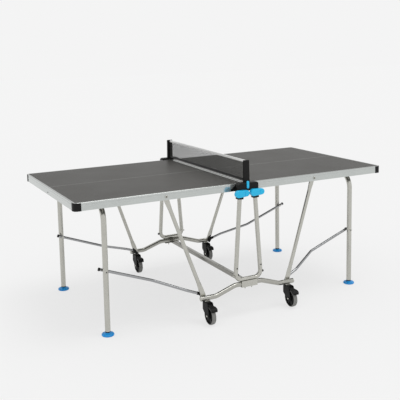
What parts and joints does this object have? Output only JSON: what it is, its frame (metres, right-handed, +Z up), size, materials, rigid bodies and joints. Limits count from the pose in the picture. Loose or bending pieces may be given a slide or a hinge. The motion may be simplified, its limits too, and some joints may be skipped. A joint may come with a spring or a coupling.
{
  "type": "ping pong table",
  "caption": "Folding ping pong table with a grey top in a metal rim, a net on posts, bent tube legs on levelling feet and a castor undercarriage.",
  "frame": {"origin": "on the floor, in the middle of the bounding box; the net line is 26 mm to the far side of it, because the castors trail to the near side", "axes": "+X along the table, +Y across it to the far side, +Z up"},
  "size_m": [2, 1.1684, 0.892],
  "materials": {
    "galvanised_steel": "satin zinc coating",
    "rim_steel": "satin zinc coating",
    "top_grey": "matt resin laminate board",
    "black_plastic": "matt black moulding",
    "handle_blue": "bright blue moulding",
    "foot_blue": "blue moulding",
    "dark_bolt": "blackened steel",
    "net_cord": "woven cord net",
    "net_tape": "white tape",
    "wheel_tyre": "grey tyre"
  },
  "bodies": {
    "undercarriage": {"near_bow": "galvanised_steel", "far_bow": "galvanised_steel", "bow_end_caps": "galvanised_steel", "cross_beam": "galvanised_steel", "near_centre_frame": "galvanised_steel", "far_centre_frame": "galvanised_steel", "frame_fittings": "galvanised_steel", "near_head_bracket": "black_plastic", "far_head_bracket": "black_plastic", "net_posts": "black_plastic", "net_cleat": "handle_blue", "net_mesh": "net_cord", "net_top_tape": "net_tape", "net_bottom_tape": "black_plastic"},
    "left_carriage": {"left_sliders": "black_plastic"},
    "left_half": {"left_top_board": "top_grey", "left_rim": "rim_steel", "left_corner_caps": "black_plastic", "left_hinge_plates": "black_plastic", "left_cross_rails": "galvanised_steel", "left_leg_clips": "black_plastic", "left_strut_bolts": "dark_bolt"},
    "left_strut_pair": {"left_struts": "galvanised_steel"},
    "left_leg_pair": {"left_leg_frame": "galvanised_steel", "left_leg_plugs": "black_plastic"},
    "left_rod_pair": {"left_rods": "galvanised_steel", "left_rod_caps": "black_plastic"},
    "right_carriage": {"right_sliders": "black_plastic"},
    "right_half": {"right_top_board": "top_grey", "right_rim": "rim_steel", "right_corner_caps": "black_plastic", "right_hinge_plates": "black_plastic", "right_cross_rails": "galvanised_steel", "right_leg_clips": "black_plastic", "right_strut_bolts": "dark_bolt"},
    "right_strut_pair": {"right_struts": "galvanised_steel"},
    "right_leg_pair": {"right_leg_frame": "galvanised_steel", "right_leg_plugs": "black_plastic"},
    "right_rod_pair": {"right_rods": "galvanised_steel", "right_rod_caps": "black_plastic"},
    "left_near_handle": {"left_near_lock_handle": "handle_blue"},
    "left_near_foot_screw": {"left_near_foot": "foot_blue"},
    "left_near_swivel": {"left_near_castor_fork": "black_plastic"},
    "left_near_roller": {"left_near_wheel": "wheel_tyre"},
    "left_near_brake": {"left_near_brake_pedal": "black_plastic"},
    "left_far_handle": {"left_far_lock_handle": "handle_blue"},
    "left_far_foot_screw": {"left_far_foot": "foot_blue"},
    "left_far_swivel": {"left_far_castor_fork": "black_plastic"},
    "left_far_roller": {"left_far_wheel": "wheel_tyre"},
    "left_far_brake": {"left_far_brake_pedal": "black_plastic"},
    "right_near_handle": {"right_near_lock_handle": "handle_blue"},
    "right_near_foot_screw": {"right_near_foot": "foot_blue"},
    "right_near_swivel": {"right_near_castor_fork": "black_plastic"},
    "right_near_roller": {"right_near_wheel": "wheel_tyre"},
    "right_near_brake": {"right_near_brake_pedal": "black_plastic"},
    "right_far_handle": {"right_far_lock_handle": "handle_blue"},
    "right_far_foot_screw": {"right_far_foot": "foot_blue"},
    "right_far_swivel": {"right_far_castor_fork": "black_plastic"},
    "right_far_roller": {"right_far_wheel": "wheel_tyre"},
    "right_far_brake": {"right_far_brake_pedal": "black_plastic"}
  },
  "joints": [
    {"name": "left_fold", "type": "slide", "parent": "undercarriage", "child": "left_carriage", "axis": [-0.0698, 0, -0.9976], "range_m": [0, 0.42]},
    {"name": "left_half_turn", "type": "hinge", "parent": "left_carriage", "child": "left_half", "pos_m": [-0.052, 0.02575, 0.728], "axis": [0, 1, 0], "range_deg": [0, 86.02]},
    {"name": "left_strut_turn", "type": "hinge", "parent": "left_half", "child": "left_strut_pair", "pos_m": [-0.487, 0.02575, 0.735], "axis": [0, -1, 0], "range_deg": [0, 49.9]},
    {"name": "left_leg_turn", "type": "hinge", "parent": "left_half", "child": "left_leg_pair", "pos_m": [-0.818, 0.02575, 0.718], "axis": [0, -1, 0], "range_deg": [0, 69.1]},
    {"name": "left_rod_turn", "type": "hinge", "parent": "left_leg_pair", "child": "left_rod_pair", "pos_m": [-0.818, 0.02575, 0.353], "axis": [0, 1, 0], "range_deg": [0, 55.82]},
    {"name": "right_fold", "type": "slide", "parent": "undercarriage", "child": "right_carriage", "axis": [0.0698, 0, -0.9976], "range_m": [0, 0.42]},
    {"name": "right_half_turn", "type": "hinge", "parent": "right_carriage", "child": "right_half", "pos_m": [0.052, 0.02575, 0.728], "axis": [0, -1, 0], "range_deg": [0, 86.02]},
    {"name": "right_strut_turn", "type": "hinge", "parent": "right_half", "child": "right_strut_pair", "pos_m": [0.487, 0.02575, 0.735], "axis": [0, 1, 0], "range_deg": [0, 49.9]},
    {"name": "right_leg_turn", "type": "hinge", "parent": "right_half", "child": "right_leg_pair", "pos_m": [0.818, 0.02575, 0.718], "axis": [0, 1, 0], "range_deg": [0, 69.1]},
    {"name": "right_rod_turn", "type": "hinge", "parent": "right_leg_pair", "child": "right_rod_pair", "pos_m": [0.818, 0.02575, 0.353], "axis": [0, -1, 0], "range_deg": [0, 55.82]},
    {"name": "left_near_lock_turn", "type": "hinge", "parent": "left_carriage", "child": "left_near_handle", "pos_m": [-0.04888, -0.52125, 0.711], "axis": [0, 1, 0], "range_deg": [0, 40], "stiffness_Nm_per_rad": 0.1, "springref_deg": -17.19},
    {"name": "left_near_foot_level", "type": "slide", "parent": "left_leg_pair", "child": "left_near_foot_screw", "axis": [0, 0, -1], "range_m": [0, 0.015]},
    {"name": "left_near_castor_swivel", "type": "hinge", "parent": "undercarriage", "child": "left_near_swivel", "pos_m": [-0.27, -0.49425, 0.12], "axis": [0, 0, 1], "continuous": true},
    {"name": "left_near_wheel_roll", "type": "hinge", "parent": "left_near_swivel", "child": "left_near_roller", "pos_m": [-0.27, -0.53225, 0.05], "axis": [1, 0, 0], "continuous": true},
    {"name": "left_near_brake_press", "type": "hinge", "parent": "left_near_swivel", "child": "left_near_brake", "pos_m": [-0.27, -0.52825, 0.106], "axis": [1, 0, 0], "range_deg": [0, 8]},
    {"name": "left_far_lock_turn", "type": "hinge", "parent": "left_carriage", "child": "left_far_handle", "pos_m": [-0.04888, 0.57275, 0.711], "axis": [0, -1, 0], "range_deg": [0, 40], "stiffness_Nm_per_rad": 0.1, "springref_deg": -17.19},
    {"name": "left_far_foot_level", "type": "slide", "parent": "left_leg_pair", "child": "left_far_foot_screw", "axis": [0, 0, -1], "range_m": [0, 0.015]},
    {"name": "left_far_castor_swivel", "type": "hinge", "parent": "undercarriage", "child": "left_far_swivel", "pos_m": [-0.27, 0.54575, 0.12], "axis": [0, 0, 1], "continuous": true},
    {"name": "left_far_wheel_roll", "type": "hinge", "parent": "left_far_swivel", "child": "left_far_roller", "pos_m": [-0.27, 0.50775, 0.05], "axis": [1, 0, 0], "continuous": true},
    {"name": "left_far_brake_press", "type": "hinge", "parent": "left_far_swivel", "child": "left_far_brake", "pos_m": [-0.27, 0.51175, 0.106], "axis": [1, 0, 0], "range_deg": [0, 8]},
    {"name": "right_near_lock_turn", "type": "hinge", "parent": "right_carriage", "child": "right_near_handle", "pos_m": [0.04888, -0.52125, 0.711], "axis": [0, 1, 0], "range_deg": [0, 40], "stiffness_Nm_per_rad": 0.1, "springref_deg": -17.19},
    {"name": "right_near_foot_level", "type": "slide", "parent": "right_leg_pair", "child": "right_near_foot_screw", "axis": [0, 0, -1], "range_m": [0, 0.015]},
    {"name": "right_near_castor_swivel", "type": "hinge", "parent": "undercarriage", "child": "right_near_swivel", "pos_m": [0.27, -0.49425, 0.12], "axis": [0, 0, 1], "continuous": true},
    {"name": "right_near_wheel_roll", "type": "hinge", "parent": "right_near_swivel", "child": "right_near_roller", "pos_m": [0.27, -0.53225, 0.05], "axis": [1, 0, 0], "continuous": true},
    {"name": "right_near_brake_press", "type": "hinge", "parent": "right_near_swivel", "child": "right_near_brake", "pos_m": [0.27, -0.52825, 0.106], "axis": [1, 0, 0], "range_deg": [0, 8]},
    {"name": "right_far_lock_turn", "type": "hinge", "parent": "right_carriage", "child": "right_far_handle", "pos_m": [0.04888, 0.57275, 0.711], "axis": [0, -1, 0], "range_deg": [0, 40], "stiffness_Nm_per_rad": 0.1, "springref_deg": -17.19},
    {"name": "right_far_foot_level", "type": "slide", "parent": "right_leg_pair", "child": "right_far_foot_screw", "axis": [0, 0, -1], "range_m": [0, 0.015]},
    {"name": "right_far_castor_swivel", "type": "hinge", "parent": "undercarriage", "child": "right_far_swivel", "pos_m": [0.27, 0.54575, 0.12], "axis": [0, 0, 1], "continuous": true},
    {"name": "right_far_wheel_roll", "type": "hinge", "parent": "right_far_swivel", "child": "right_far_roller", "pos_m": [0.27, 0.50775, 0.05], "axis": [1, 0, 0], "continuous": true},
    {"name": "right_far_brake_press", "type": "hinge", "parent": "right_far_swivel", "child": "right_far_brake", "pos_m": [0.27, 0.51175, 0.106], "axis": [1, 0, 0], "range_deg": [0, 8]}
  ],
  "couplings": [
    {"joint": "left_half_turn", "follows": "left_fold", "rad_per_m": 3.5738},
    {"joint": "left_strut_turn", "follows": "left_fold", "rad_per_m": 2.0727},
    {"joint": "left_leg_turn", "follows": "left_fold", "rad_per_m": 2.8706},
    {"joint": "left_rod_turn", "follows": "left_fold", "rad_per_m": 2.3188},
    {"joint": "right_half_turn", "follows": "right_fold", "rad_per_m": 3.5738},
    {"joint": "right_strut_turn", "follows": "right_fold", "rad_per_m": 2.0727},
    {"joint": "right_leg_turn", "follows": "right_fold", "rad_per_m": 2.8706},
    {"joint": "right_rod_turn", "follows": "right_fold", "rad_per_m": 2.3188}
  ]
}
